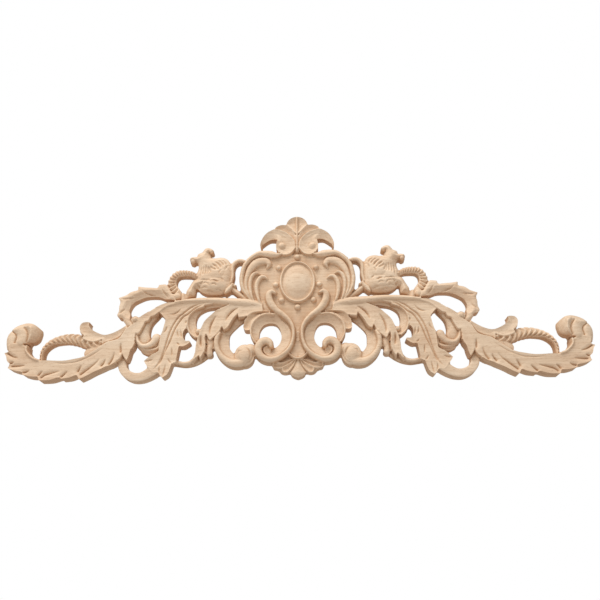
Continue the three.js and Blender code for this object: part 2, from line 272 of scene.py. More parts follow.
def cartouche(relief):
    """Shield in the middle: its ground, oval boss, ring, beads, rim and finger gadroons."""
    ground = [
        (-9, 33), (38, 33), (50, 27), (57, 16), (59, 4), (57, -8), (50, -19), (38, -27), (25, -34),
        (12, -42), (4, -52), (1, -66), (-9, -66),
    ]
    relief.plate(ground, FIELD)
    relief.dome(0, 0, half=(19.2, 24.2), heights=(11.8, 12.2), kind="flat")
    ring = [(17.6 * math.cos(a), 22.6 * math.sin(a), 1.2) for a in np.linspace(-math.pi, math.pi, 33)]
    relief.sweep("round", (11.8, 14.4), [s for s in ring if s[0] > -8])
    relief.dome(0, 0, half=(15.9, 20.9), heights=(11.4, 16.6), kind="soft")
    for u, z in ((0.3, 29.3), (19.8, 16.8), (23, -3), (16.8, -20.6), (0.2, -28.6)):
        relief.dome(u, z, half=(3.1, 3.1), heights=(10.4, 14.4))
    rim = [
        (16, 32.6, 0.6, -1), (22, 31.4, 2.4), (28, 32.4, 3.8), (34.5, 33.2, 3.5), (41, 33.4, 2.7),
        (46, 30.9, 2.3), (51.5, 26.2, 2.3), (56.3, 19.3, 2.2), (58.4, 11, 2.3), (59.3, 3, 2.3),
        (57.9, -6, 2.1), (54, -14, 1.4, -1), (48.5, -21, 1, -2),
    ]
    relief.sweep("soft", RIM, rim)
    fingers = [
        [(32.4, 16.5, 1.2, -1.5), (30.4, 20.5, 3.2), (33, 24.2, 4), (39, 24.4, 4.6), (44.8, 22, 4.7),
         (49.8, 16, 4), (53, 8.5, 3), (54.6, 0.5, 2.3), (54, -7, 2), (51.5, -14.5, 1.6),
         (48, -20.5, 1, -2)],
        [(40, 9.7, 0.8, -2), (43, 10.8, 1.8), (46.4, 9.6, 2.2), (49.2, 4.6, 2.3), (50.3, -2.5, 2.3),
         (49.6, -10, 2.1), (47.8, -17, 1.6), (45.4, -21.9, 0.8, -1.5)],
        [(31.8, 4, 1, -1.5), (35, 6, 2), (38.5, 5.8, 2.5), (42, 1.2, 2.6), (43.4, -5, 2.6),
         (42.6, -13, 2.4), (40.4, -20.6, 1.7), (38.3, -24.3, 0.8, -1.5)],
    ]
    for stations in fingers:
        relief.sweep("round", FINGER, stations)


def inner_scroll(relief):
    """S-scroll from beside the boss down to a volute, with the hollow inside it."""
    relief.sweep("flat", (9, 10), [(20, -38, 6), (34, -32, 6), (48, -28, 5), (64, -27, 5), (78, -30, 4)])
    relief.dome(34, -74, half=(6.5, 8), heights=(10.5, 11), kind="flat")
    hollow = [
        (33.4, -73, 0.8), (32.4, -76.6, 2), (28, -78.4, 3.8), (21.4, -77, 5.2), (14.6, -72.4, 6.2),
        (11.2, -65.5, 6.2), (10.8, -57, 6.2), (13.6, -48.2, 6), (19.8, -41.8, 5.4), (29, -40.2, 5),
        (37.5, -43, 4.8), (43.1, -49.7, 4.8), (44.6, -57.5, 4.6), (43, -64, 3),
    ]
    relief.sweep("slope", (8.4, 13), hollow)
    hollow_rim = [
        (25, -36.9, 0.9), (31, -35.9, 0.9), (38.5, -38.2, 0.9), (45.6, -44.6, 0.9), (48.3, -52, 0.9),
        (47.8, -59, 0.9), (44.5, -66, 0.9),
    ]
    relief.sweep("round", (12.2, 14), hollow_rim)
    roll = [
        (23.5, -12.9, 1.8, -1), (27.2, -11.6, 3), (30, -14.6, 3.6), (29.7, -20, 3.9), (26.8, -26.3, 3.9),
        (21.6, -32.4, 3.4), (14.6, -38, 2.9), (8.6, -44.3, 2.5), (5.2, -51, 2.1), (4.4, -58, 2),
        (5.4, -66, 2.1), (9, -74.5, 2.4), (15.5, -81, 2.8), (24.5, -85.2, 3.2), (32.5, -84.8, 3.5),
        (38.6, -80.4, 4), (40.4, -73.5, 4), (37.4, -67.2, 4.2), (32, -65.6, 4), (28.2, -68.6, 3.4),
        (27.4, -71.5, 2.2),
    ]
    relief.sweep("round", ROLL, roll)
    roll_edge = [
        (20.5, -38.3), (9.6, -48.9), (6.4, -58.1), (8.5, -69.4), (16.1, -78.3), (24.6, -82.6),
        (31, -81.4), (35.9, -76.9), (35.9, -72.4), (32.2, -70.8),
    ]
    relief.groove(roll_edge, depth=1.6, half=0.9, taper=0.1)
    eye_rim = [
        (31.3, -71.4, 0.7), (34.4, -73.4, 0.9), (34.6, -76.2, 0.9), (32.4, -79.5, 0.9),
        (28.5, -81.6, 0.9), (23.9, -81.7, 0.6),
    ]
    relief.sweep("round", (11, 12.6), eye_rim)
    outer_cove = [(30, -33.5, 1.2), (39, -34.2, 2.2), (46, -38, 3.2), (51, -44, 3.8), (52.4, -50, 3.8)]
    relief.sweep("cove", (10, 13.2), outer_cove)


def arm(relief):
    """Stem that carries the wing outward from the shield."""
    stem = [
        (40, -25, 4, -2), (55, -23, 4.5), (70, -21.8, 3.8), (88, -20.2, 3.3), (105, -20.1, 2.9),
        (118, -20.8, 2.6), (128, -22, 1.6),
    ]
    relief.sweep("soft", STEM, stem)


def wing_leaf(relief):
    """Long acanthus leaf along the wing, with its veins and the line beside its edge."""
    outline = [
        [(124.3, -21.9), (136.9, -22.8), (146.3, -26.7), (154.9, -32.1), (163.4, -37.9), (167.4, -42.6),
         (172.3, -46.4), (177.6, -50.7), (183.3, -60.1), (188, -62.6), (195.9, -64.6), (200.1, -67.5),
         (209.6, -74.2), (218.6, -80.4), (228, -82.7), (238.4, -84.3), (254.6, -83.8), (263.7, -83.6),
         (267.7, -82.1), (273, -78.1), (276.8, -73.1), (277.2, -68.4)],
        [(277.3, -68.4), (289.4, -64.8), (297.4, -67.1)],
        [(297.4, -67.1), (296.3, -72.6), (295.8, -74.4)],
        [(300, -75.3), (297.5, -79), (295.8, -83.9), (292.6, -86.9)],
        [(292.6, -86.9), (293.8, -91)],
        [(295.2, -91), (287, -94), (279, -95.3)],
        [(279, -95.3), (278.5, -97.8)],
        [(278.5, -98.2), (270, -100.4), (262.5, -100.4)],
        [(260.8, -104.6), (250, -104.2), (240, -101.2)],
        [(238.5, -103.2), (230, -102), (223, -99)],
        [(220.3, -104), (214, -101), (207, -97), (199.2, -93.4)],
        [(199.2, -93.4), (195.3, -91.4), (191.5, -89.8)],
        [(191.1, -89.9), (187.7, -88.1), (182.8, -84.4), (179.9, -80.7), (179.3, -76.3)],
        [(179.3, -76.3), (177.1, -80.8), (173.9, -85.1)],
        [(173.9, -85.1), (172, -79.4), (170.9, -74), (168.4, -69.9), (167.7, -65.2), (167.5, -60.2),
         (167, -55.2)],
        [(167, -55.2), (165.7, -56.3), (164, -55.8), (162.2, -53.1), (159.5, -47.2), (158.3, -43.4)],
        [(158.3, -43.4), (154.6, -41.8), (152.9, -37.7)],
        [(152.9, -37.7), (149.8, -37), (144.2, -32.7), (140.7, -29.6), (137.2, -26.9), (131.3, -24.7),
         (123.3, -22.9)],
    ]
    crease = [
        (172.9, -46.4), (179.1, -52.9), (183.3, -58.8), (189.6, -62.2), (195.2, -64.1), (201.6, -66.5),
    ]
    for foot in (crease, *outline[-5:-1]):
        relief.groove(foot, depth=2.6, half=1.3, taper=0.1)
    relief.leaf(outline, WING, shoulder=8)
    grooves = [
        [(181.4, -66), (181.4, -70), (180.8, -75.6)],
        [(187.2, -75.6), (187.8, -80), (189.4, -84.4), (191.7, -88.3)],
        [(195.6, -82.8), (196.7, -86), (199.4, -90)],
        [(201.7, -82.2), (204.4, -86), (208.9, -90), (215, -95), (219.7, -99)],
        [(219.2, -89.3), (221, -92), (222.5, -95.7)],
        [(232.8, -95.2), (236, -98.2), (238.9, -101)],
        [(240.6, -94.9), (245, -96), (251, -97.4), (256, -98.8), (259.2, -101.6)],
        [(258, -94.9), (260.6, -96.8), (262.2, -99)],
        [(271.7, -93.5), (274.4, -95.2), (277.8, -96)],
        [(276.7, -88.8), (282.8, -89), (290.6, -89.3)],
        [(288.9, -84.9), (292.8, -86.3)],
        [(285, -81), (291.7, -78.6), (296.7, -75.6)],
    ]
    for points in grooves:
        relief.groove(points, depth=1.2, half=3.6, taper=0.7, open_end=True)
        relief.groove(points, depth=2.2, half=1.15, taper=0.7, open_end=True)
    edge_line = [
        (249.3, -86.4), (237.1, -87), (225.2, -85.7), (213.7, -81), (206.9, -76.8), (198.9, -71.3),
    ]
    relief.groove(edge_line, depth=1, half=0.8, taper=0.2)


def wing_end(relief):
    """Rolled end of the wing, with its ball."""
    outer = [
        (298.8, -71.2), (300.4, -65.2), (300.8, -58.1), (299.3, -53.7), (296, -50.3), (290, -51.3),
        (287.8, -56.3), (287.8, -63.4), (287.4, -72.3), (292.1, -76.2),
    ]
    relief.leaf([outer], (11.4, 14.8), shoulder=7)
    middle = [
        (296.2, -50.3), (292, -46.7), (286.1, -44.1), (279.9, -43.3), (275.7, -50.8), (275.6, -58.9),
        (278.7, -66.8), (284, -69.9), (288.6, -67.7), (290.8, -63.7), (290.1, -59.7), (290.2, -56.7),
        (291.9, -54.1),
    ]
    relief.groove([*middle[-5:], middle[0]], depth=2.8, half=1.6, taper=0.1)
    relief.leaf([middle], (13.4, 16.4), shoulder=8)
    ball_edge = [(283.7, -47.5), (280.3, -51), (278.3, -55.3), (278.1, -60.5), (279.3, -65.2)]
    ball = [
        (278.5, -63.6), (273.7, -63.1), (269.8, -59.8), (268.4, -55.1), (268, -51.7), (268.9, -47.8),
        (271, -46), (274.9, -44), (280, -43.2),
    ]
    relief.groove(ball_edge, depth=2.8, half=1.6, taper=0.1)
    relief.leaf([ball, ball_edge], (14.2, 19.4), shoulder=9)
    ball_side = [
        (280, -41, 3), (273.4, -45.2, 5.8), (271.6, -53, 6.2), (273.6, -60.4, 5.8), (280, -65, 3),
    ]
    relief.sweep("shoulder", (-2, 19.4), ball_side, sink=True)


def lower_loop(relief):
    """Roped loop between the curled leaf and the wing's end."""
    relief.sweep("soft", (8, 10), [(200, -68, 4), (209, -70.5, 5.5), (214.5, -75, 5.5)])
    loop = [
        (203.8, -64, 3.8), (210.1, -65, 5), (217.4, -64, 6), (225, -60.5, 6.2), (231.5, -58.9, 5.9),
        (238, -58.2, 5.4), (245, -59, 4.8), (252.6, -61.2, 3.9), (258.8, -65.4, 3.3),
        (262.6, -70.6, 2.8), (263.8, -76.2, 2.4), (263.2, -82.3, 2.2),
    ]
    ribs = rope_ribs(pitch_start=6.8, pitch_end=3.2, length=82, bend=5, depth=3.4, plain=(-1.8, -0.3))
    relief.sweep("round", ROPE, loop, ribs=ribs)


def wing_rim(relief):
    """Thin rim around the inner side of the wing's end."""
    rim = [
        (278.2, -68.4, 1.1), (277.9, -72.9, 1.1), (274.1, -77.9, 1.1), (268.8, -81.9, 1.1),
        (264.6, -83.4, 1.1),
    ]
    relief.sweep("round", (14.6, 16.2), rim)


def small_curl(relief):
    """Small spiral at the root of the wing leaf."""
    relief.dome(168.9, -40.7, half=(3.9, 3.9), heights=(13.6, 16.6), kind="soft")
    spiral = [
        (166.1, -39), (169.1, -37.3), (171.4, -38.9), (171.4, -41.8), (169.2, -43.6), (167.2, -42.3),
        (167.9, -40.2),
    ]
    relief.groove(spiral, depth=1.5, half=0.9, taper=0.2)


def toothed_leaf(relief):
    """Toothed leaf that arches above the wing."""
    outline = [
        [(132.8, -11.1), (137.1, -3.7), (139.2, -0.8), (147, -1)],
        [(147, -1), (147.7, -3.5), (149.1, -4.8)],
        [(149.1, -4.8), (156, -4), (162.1, -3.6), (169.1, -2.5)],
        [(169.1, -2.5), (168.7, -5.6), (169.4, -6.9)],
        [(169.4, -6.9), (176, -8.7), (181, -12.3), (188.8, -15.3)],
        [(188.7, -15.5), (186.5, -20.1), (187.3, -24.9), (187.2, -29.7), (188.5, -34.1)],
        [(188.9, -33.5), (187.8, -36.5), (183.9, -37.9)],
        [(185.1, -36.4), (182, -39), (178.4, -42), (174.3, -43.7)],
        [(175.6, -32.7), (177, -29.9), (176.2, -25.5), (173.2, -20.6), (167.4, -17), (160.7, -14.3),
         (153.9, -13.6), (146.2, -14.1), (140, -16.7)],
        [(128.4, -18.9), (128.8, -12.4)],
    ]
    relief.leaf(outline, (11.6, 13), shoulder=3)
    inner_edge = outline[-2][::-1]
    relief.sweep("slope", (7.5, 13), [(u, z, 6.5) for u, z in inner_edge], sink=True)
    veins = [
        [(143.3, -6.2), (140.7, -10.3), (136.6, -15.2)],
        [(165.1, -6.6), (161.1, -9.5), (155.7, -11.7), (150.3, -13.2)],
        [(187.2, -16.3), (181.5, -17), (176.3, -16.3), (171.9, -15.4)],
        [(181, -27.7), (184, -31.3), (186.8, -33.6)],
    ]
    for points in veins:
        relief.groove(points, depth=1.6, half=1.2)


def curled_leaf(relief):
    """Hollow leaf with a curled tip, further out above the wing."""
    curl = [
        [(178.3, -46.8), (186, -51.9), (193.1, -55.2), (200, -56.5), (208.6, -53.4), (214.6, -49.4),
         (217.2, -44.8), (216.4, -42.8)],
        [(215.7, -42.3), (215.9, -42.4), (219.9, -42.1), (224, -43), (226.1, -46), (225.8, -50.4),
         (224, -54.3), (221.5, -56.2)],
        [(221.1, -56.6), (222.7, -59.3)],
        [(222.7, -59.3), (219, -61.7), (213.1, -63.5), (207.5, -63.2), (201.4, -60.7)],
        [(201.4, -60.7), (202.1, -64.1), (200.1, -67.5)],
        [(200.1, -67.5), (195.8, -66.1), (187.8, -63.9), (183.2, -61.4), (177.5, -52)],
    ]
    relief.leaf(curl, (12.6, 11.2), shoulder=6)
    relief.sweep("soft", (11, 13), [(178.6, -40.6, 3), (175.4, -44, 3.2), (172, -47, 3)])


def middle_scroll(relief):
    """Stalk, bars, hook and ring in the gap between the wing leaf and the middle leaf."""
    stalk = [
        (149, -32.8, 4.6), (156.1, -40.9, 5), (159.5, -48, 6), (160.4, -55.1, 6.4), (158.9, -61.1, 6.4),
    ]
    relief.sweep("round", (6.5, 11), stalk)
    low_bar = [(160.2, -73.1, 1.6), (154.7, -75.3, 2), (149.1, -74.9, 2.2), (144.9, -72.8, 2)]
    relief.sweep("soft", (6, 8), low_bar)
    bar = [
        (164.1, -68.5, 1.6), (158.1, -72, 2), (150.5, -72.7, 2.2), (143.3, -70, 2.2), (142.4, -65, 2.4),
    ]
    relief.sweep("soft", (8, 10.6), bar)
    hook = [
        (166.3, -56.9, 1.2), (164.7, -63.9, 2), (160.3, -68.6, 2.6), (153.7, -68.3, 3.2),
        (148.9, -65, 3.7), (146.5, -61.4, 4.4), (146, -59.8, 4.4),
    ]
    relief.sweep("round", (9.6, 13.4), hook)
    ring = [
        (180.3, -78.8, 4.2, -2), (179.7, -85.2, 4.2, -1.5), (177.7, -92.8, 4.2, -0.5),
        (173, -98.2, 4.3, 0), (166.2, -101.4, 4.4, 0.4), (159.2, -101.5, 4.4, 0.8),
        (153.3, -99.3, 4.8, 1.4), (148, -95.9, 5.4, 2), (143.1, -92.1, 5.4, 2),
    ]
    relief.sweep("flat", RING, ring)


def middle_leaf(relief):
    """Acanthus leaf that hangs from the middle of the wing, with the hollow beside its top."""
    hollow = [
        (72, -25, 1.5, 3), (86, -24.6, 2.4, 1), (98, -26.5, 2.6), (106.8, -32.6, 3), (110.6, -42.5, 4),
        (109, -52, 4.8), (104, -57, 3.6),
    ]
    relief.sweep("slope", COVE, hollow)
    hollow_rim = [
        (104, -27, 0.8), (108.3, -31.3, 0.8), (111.7, -35.2, 0.9), (114.4, -41.3, 0.9),
        (114.4, -46.9, 0.9), (112.8, -52.4, 0.9), (110, -56.9, 0.9), (106, -60.2, 0.9),
    ]
    relief.sweep("round", (11.6, 13.4), hollow_rim)
    relief.dome(103, -53.5, half=(2.8, 2.8), heights=(9.5, 13.2))
    outline = [
        [(123.5, -22.3), (131.6, -24.3), (137.8, -26.8), (143.3, -32.9)],
        [(143.3, -32.9), (140.3, -36.7), (136.8, -40.9)],
        [(137.1, -41.6), (138.4, -48.2), (139.7, -54.2), (141.3, -58.7), (141.9, -63.2), (142.2, -70.1),
         (142.8, -74.9), (146.5, -77.9), (151, -80.8), (156.3, -85.6)],
        [(156.3, -85.6), (153.8, -89.5), (151.4, -92.7)],
        [(151.4, -92.7), (147, -97.5), (140.3, -97.6)],
        [(140.3, -97.6), (139.3, -100.3), (136.5, -103.2)],
        [(136.5, -103.2), (131.9, -99.9), (129.4, -93.7), (128, -88.5)],
        [(123.7, -87.4), (123.3, -81.2), (122.3, -74.4), (121.6, -70.2)],
        [(121.6, -70), (117.3, -70.4), (112.7, -67.9), (110.7, -66.4)],
        [(110.7, -66.4), (110.4, -65.2), (112, -64.5)],
        [(112, -64.5), (114.8, -64.8), (117.3, -62.1), (118.3, -58.1), (117.8, -54.1), (115.3, -49.8)],
        [(115.4, -50), (113.9, -45.7), (113.5, -40.4), (110.8, -34.2), (105.6, -30), (97.8, -27.2)],
        [(97.6, -25.4), (87.8, -22.9), (87.9, -19.6), (112.7, -21.4)],
    ]
    relief.leaf(outline, LEAF, shoulder=5)
    midribs = [
        [(101.8, -23.1), (111.5, -27.7), (119.1, -34.1), (123.3, -37.5), (126.4, -42), (129.4, -47.6),
         (131.7, -53.6), (133.5, -59.6), (135.3, -67.5), (137.1, -75.4), (140.1, -85.1), (143.1, -90.9),
         (146.1, -94.7)],
        [(99.3, -24.9), (107, -28.9), (114.6, -35.4), (118.5, -37.6), (122.1, -42.6), (125.6, -48.6),
         (127.9, -54.1), (129.7, -59.6), (131.6, -65.6), (133.7, -70.5), (137.7, -81.2), (140, -88),
         (141.2, -91.4)],
    ]
    for points in midribs:
        relief.groove(points, depth=2.2, half=1.1, taper=0.1)
    veins = [
        [(135, -48), (136.3, -52.5), (138.6, -55.7)],
        [(129.1, -71.1), (128.5, -77.5), (128.3, -81.4)],
        [(132.2, -82.8), (130.8, -85.7), (128.3, -88.4)],
        [(134.2, -89.2), (135.3, -96.1), (136.6, -102.6)],
        [(155.3, -86), (151.5, -85.1), (146.9, -83.8)],
        [(139.7, -89.8), (140.4, -95.3), (138.7, -101)],
        [(124.1, -65.7), (122.7, -67.7), (120.6, -68.9)],
        [(124.2, -52.2), (124, -56.2), (122.5, -60.5)],
        [(121.1, -52.2), (120.3, -56.8), (119.1, -61.8)],
        [(115.6, -42.2), (116, -45.8)],
        [(120.9, -28.1), (125.1, -32.6), (129, -34.7), (134.4, -35.1)],
    ]
    for points in veins:
        relief.groove(points, depth=1.7, half=1)


def inner_leaf(relief):
    """Acanthus leaf next to the shield, with the low stems behind it."""
    low_stem = [
        (95.2, -79.7, 2), (99.8, -83.1, 2), (106.3, -86.5, 1.8), (114.7, -88.1, 1.8),
        (124.2, -86.9, 1.8),
    ]
    relief.sweep("soft", (4.5, 5.5), low_stem)
    link = [(91, -60, 4), (89.5, -68, 3.4), (91, -73, 2.8), (90.5, -77.6, 3.2)]
    relief.sweep("soft", (9.5, 11.4), link)
    stem = [
        (102.6, -53.9, 1.6), (103.4, -66, 1.6), (103.4, -74.9, 1.7), (105.4, -81.3, 1.8),
        (110.3, -85.9, 1.9), (116.4, -87.2, 1.9), (122.6, -86.1, 1.8),
    ]
    relief.sweep("round", (7.4, 9.8), stem)
    outline = [
        [(35.9, -33.4), (41.4, -33.7), (46.2, -34.5), (50.3, -36.4), (53.6, -38.5), (57.7, -39.1),
         (61, -39.6)],
        [(61, -39.6), (61.9, -37.2), (62.6, -35.1)],
        [(62.6, -35.7), (65.9, -39.4), (69.2, -44.5), (71.4, -48.8), (73.7, -51.6), (76.5, -52.9)],
        [(76.5, -52.9), (77.7, -50.1), (78.9, -45.6)],
        [(78.9, -45.6), (79.4, -50.1), (81.6, -55.8), (85.6, -59.7), (90.3, -64.1)],
        [(90.3, -64.1), (91.8, -62.3), (93, -59.5), (94.7, -57.1)],
        [(94.5, -57.2), (96, -62.5), (94.9, -69.6), (95.9, -76.7), (99.4, -83.3)],
        [(101.2, -79.9), (103.8, -83.1), (107.4, -86.6)],
        [(107.5, -85.6), (105.4, -78.6), (104.4, -69.5), (102.9, -61.3), (101.4, -56.4), (99.6, -50.6),
         (96.4, -43.4), (90, -36.6), (83.6, -30.8), (74.8, -26.6)],
        [(63, -22.2), (37.1, -25.8)],
    ]
    for foot in outline[:6]:
        relief.groove(foot, depth=2.6, half=1.3, taper=0.1)
    relief.leaf(outline, LEAF, shoulder=4)
    veins = [
        [(61.6, -28.7), (66, -30.6), (70.1, -34.2), (72.4, -37.4), (74, -40.7), (74.7, -43.6)],
        [(84.5, -37.4), (87.4, -41.6), (89.5, -45.9), (90.6, -50.2), (90.9, -54.5), (90.3, -58.5)],
        [(99.6, -58.3), (100, -63.4), (99.6, -68), (98.7, -71.6)],
    ]
    for points in veins:
        relief.groove(points, depth=1.2, half=4)
        relief.groove(points, depth=2.2, half=1.3)


def lower_scroll(relief):
    """Hollow C-scroll below the inner leaf, with the ball at its end."""
    hollow = [
        (57, -37.6, 3.6, -3.5), (67.3, -44.4, 5, -3.5), (75, -54.6, 4.6, -3), (77.2, -64, 6, -1),
        (76.3, -73, 6.4), (70.5, -80.5, 5.6), (62, -83, 4),
    ]
    relief.sweep("slope", COVE, hollow)
    rim = [
        (82, -56, 2.6), (83.3, -62, 2.6), (83.6, -68, 2.6), (81.3, -76, 2.8), (75.5, -83.5, 3.2),
        (67, -88.3, 4), (58, -88, 4.6), (51.5, -83.5, 4),
    ]
    relief.sweep("round", SCROLL_RIM, rim)
    relief.dome(49, -75.5, half=(6.4, 7.4), heights=(10.5, 14.6), kind="soft")
    relief.dome(54.6, -80.4, half=(10, 11.6), heights=(11, 16.4), kind="soft")
    creases = [
        [(55.6, -71.4), (50.9, -74.5), (48.3, -79.8), (49.1, -84.7), (51.8, -87.4)],
        [(47.9, -71.8), (45.6, -77.1), (46, -82), (48.4, -86.8), (52.2, -89.9)],
        [(63.6, -80), (61.3, -78.8), (60.2, -76.3), (56.3, -76.6)],
    ]
    for points in creases:
        relief.groove(points, depth=1.5, half=1.1)


def palmette(relief):
    """Crest on top: a middle lobe, two lobes and two horns on the sides, and their eyes."""
    relief.plate([(-9, 30), (10, 30), (18, 34), (20, 46), (12, 56), (4, 60), (-9, 60)], 9)
    top_lobe = [
        [(1.7, 57.2), (6.2, 62.2), (11.5, 68.3)],
        [(11.5, 68.3), (9.9, 71.8), (7.1, 74.9), (3.3, 76.7), (0.3, 77.3), (-9, 77)],
        [(-9, 77), (-9, 56)],
    ]
    relief.leaf(top_lobe, (13.6, 10.8), shoulder=7)
    back_lobe = [
        (24.9, 61.5), (23.1, 65.1), (19.3, 67.2), (15.6, 67.9), (11.8, 67.1), (8.1, 63.8), (4.8, 60.1),
        (1.8, 54.8), (1.5, 44.4), (10, 51.8), (18.4, 57.2), (24.9, 59.2),
    ]
    relief.leaf([back_lobe], (12.8, 10.2), shoulder=5)
    comma = [
        [(37.6, 39.3), (39.8, 42.3), (39.5, 47.4), (37.6, 52.3), (33.8, 57.6), (28.1, 61.2),
         (22.1, 62.4), (16.5, 60.8), (11.3, 58.1), (6.2, 53.3), (2.9, 48.1), (2.1, 42.9), (1.8, 39.6)],
        [(1.8, 39.6), (4.4, 35.7), (7.2, 32.9), (11.4, 31.4), (15.5, 31.3)],
        [(15.5, 31.8), (19.7, 35), (22.5, 38.4)],
        [(22.8, 41.4), (22.2, 46.2), (21.4, 49)],
        [(21.6, 50.6), (25.4, 51.5), (29.1, 51.2), (32.9, 49), (38, 44.7)],
    ]
    relief.leaf(comma, (14.2, 11.6), shoulder=8)
    horn = [
        (16, 54.5, 7, 4), (22, 56.5, 6.6, 2), (27, 56.5, 6, 0.6), (32, 54, 5.2, 0), (36.4, 49, 4, 0),
        (38.6, 43, 2, 0),
    ]
    relief.sweep("slope", (9, 13), horn, sink=True)
    relief.dome(16.7, 42.6, half=(4.4, 4.6), heights=(11, 15), kind="soft")
    relief.sweep("ridge", (12, 14.8), [(0, 37, 2), (0, 46, 1.7), (0, 60, 1.4), (0, 76.5, 1.2)])


def shell(relief):
    """Shell at the foot: a middle flute and two on each side."""
    relief.dome(0, -81, half=(20, 8), heights=(6.6, 7), kind="flat")
    relief.sweep("cove", (9.6, 11.4), [(0, -58, 2.5), (0, -66, 4.4), (0, -74.5, 8.2)])
    outer_flute = [
        [(5.7, -82.3), (13, -84.7), (20.5, -85.9), (28, -86.1)],
        [(28.1, -87.1), (25.2, -91.8), (19.9, -95)],
        [(14, -94.6), (8, -90.8), (2.6, -84.2)],
    ]
    relief.leaf(outer_flute, (8.4, 8), shoulder=3)
    second_flute = [
        [(2.6, -84.2), (8, -90.8), (14, -94.6), (19.4, -95.3)],
        [(19.6, -95), (16.8, -98), (12.7, -99.1), (8.1, -98)],
        [(6.8, -96.8), (3.8, -91.9), (1.5, -84.6)],
    ]
    relief.leaf(second_flute, (8.4, 8), shoulder=3)
    outer_cove = [(5.3, -85.5, 1), (10, -88.2, 2.2), (16.2, -90.8, 2.9), (22.6, -90.8, 3.2)]
    relief.sweep("cove", (8.6, 11.4), outer_cove)
    second_cove = [(3.6, -86.1, 0.9), (6.7, -90.4, 2.2), (10, -93.6, 3.2), (12.6, -95.2, 3.7)]
    relief.sweep("cove", (8.8, 11.8), second_cove)
    middle_flute = [
        [(1.5, -84.6), (3.8, -91.9), (7.8, -98.3)],
        [(7.9, -97.7), (6.3, -101.3), (1.9, -103.7), (-2, -104.4), (-9, -103)],
        [(-9, -103), (-9, -84)],
    ]
    relief.leaf(middle_flute, (9, 12), shoulder=8)
    relief.sweep("round", (10.6, 13.4), [(0, -84.3, 1.1), (3, -83.8, 1.1), (6, -82, 1.1), (9, -79, 1)])


def bud(relief):
    """Bud above the wing, with the arch and the stem that join it to the shield."""
    arch = [
        (70.4, 1, 1.6), (69.1, 9.1, 2), (69.6, 17.3, 2.2), (68.2, 22.9, 2.5), (64.2, 26.3, 2.4),
        (60, 26.7, 2.3), (57.2, 25.8, 2.2),
    ]
    relief.sweep("round", (8, 12), arch)
    relief.sweep("soft", (8, 11), [(69.9, -5, 3), (64.6, -9.6, 2.6), (59, -14.2, 2.6), (53.4, -18.3, 3)])
    outline = [
        [(108.7, 32.5), (107.5, 36.1), (103.3, 38.1), (101.5, 40.7), (99.2, 43.1), (95.4, 43),
         (92, 41.1), (90.5, 38.4), (92.6, 37.5), (94.7, 35.7), (93.9, 33.8)],
        [(93.1, 31.4), (89.3, 30.6), (83.6, 31.5), (77.9, 30.4), (74.1, 27.7), (72.5, 25)],
        [(72.5, 25), (70.6, 21.4), (69.5, 15.2), (69.1, 9.1), (69.8, 3)],
        [(70.8, 0), (73.9, -6), (78, -7.5), (83.1, -9.4), (88.7, -10), (94.3, -8.9), (100, -6.8),
         (104.7, -5.5), (108, -5.5)],
        [(108.4, -10.3), (108.9, -13.1)],
        [(116.6, -15.4), (118.1, -8.2), (115.8, -3.7), (113.7, 0.3), (111.5, 4.3), (108.4, 6.2)],
        [(108.7, 11.8), (106.6, 16.9), (106.3, 21), (108.4, 25.9), (110.8, 26), (113.1, 24.6),
         (115.3, 25.3), (115.3, 25.8), (115.8, 29.5), (114.8, 32), (112, 32.8), (108.7, 32.5)],
    ]
    relief.leaf(outline, (8, 14.6), shoulder=9)
    relief.dome(86, 12, half=(17, 16), heights=(9, 16.2), kind="soft")
    relief.dome(88, -1, half=(19, 12), heights=(9, 16.6), kind="soft")
    for u, z in [(92.8, 38), (112.4, 26.4), (113.4, 29)]:
        relief.dome(u, z, half=(2.4, 2.4), heights=(9, 13.5))
    calyx_curl = [(68.9, -1.5, 1.2), (70.6, -4.7, 2.2), (73.5, -8.1, 2.6), (75.7, -11.1, 1.6)]
    relief.sweep("round", (11, 14), calyx_curl)
    relief.sweep("round", (9, 12), [(68.8, -1.4, 2), (66.3, -2.9, 1.4), (65.4, -2.1, 0.6)])


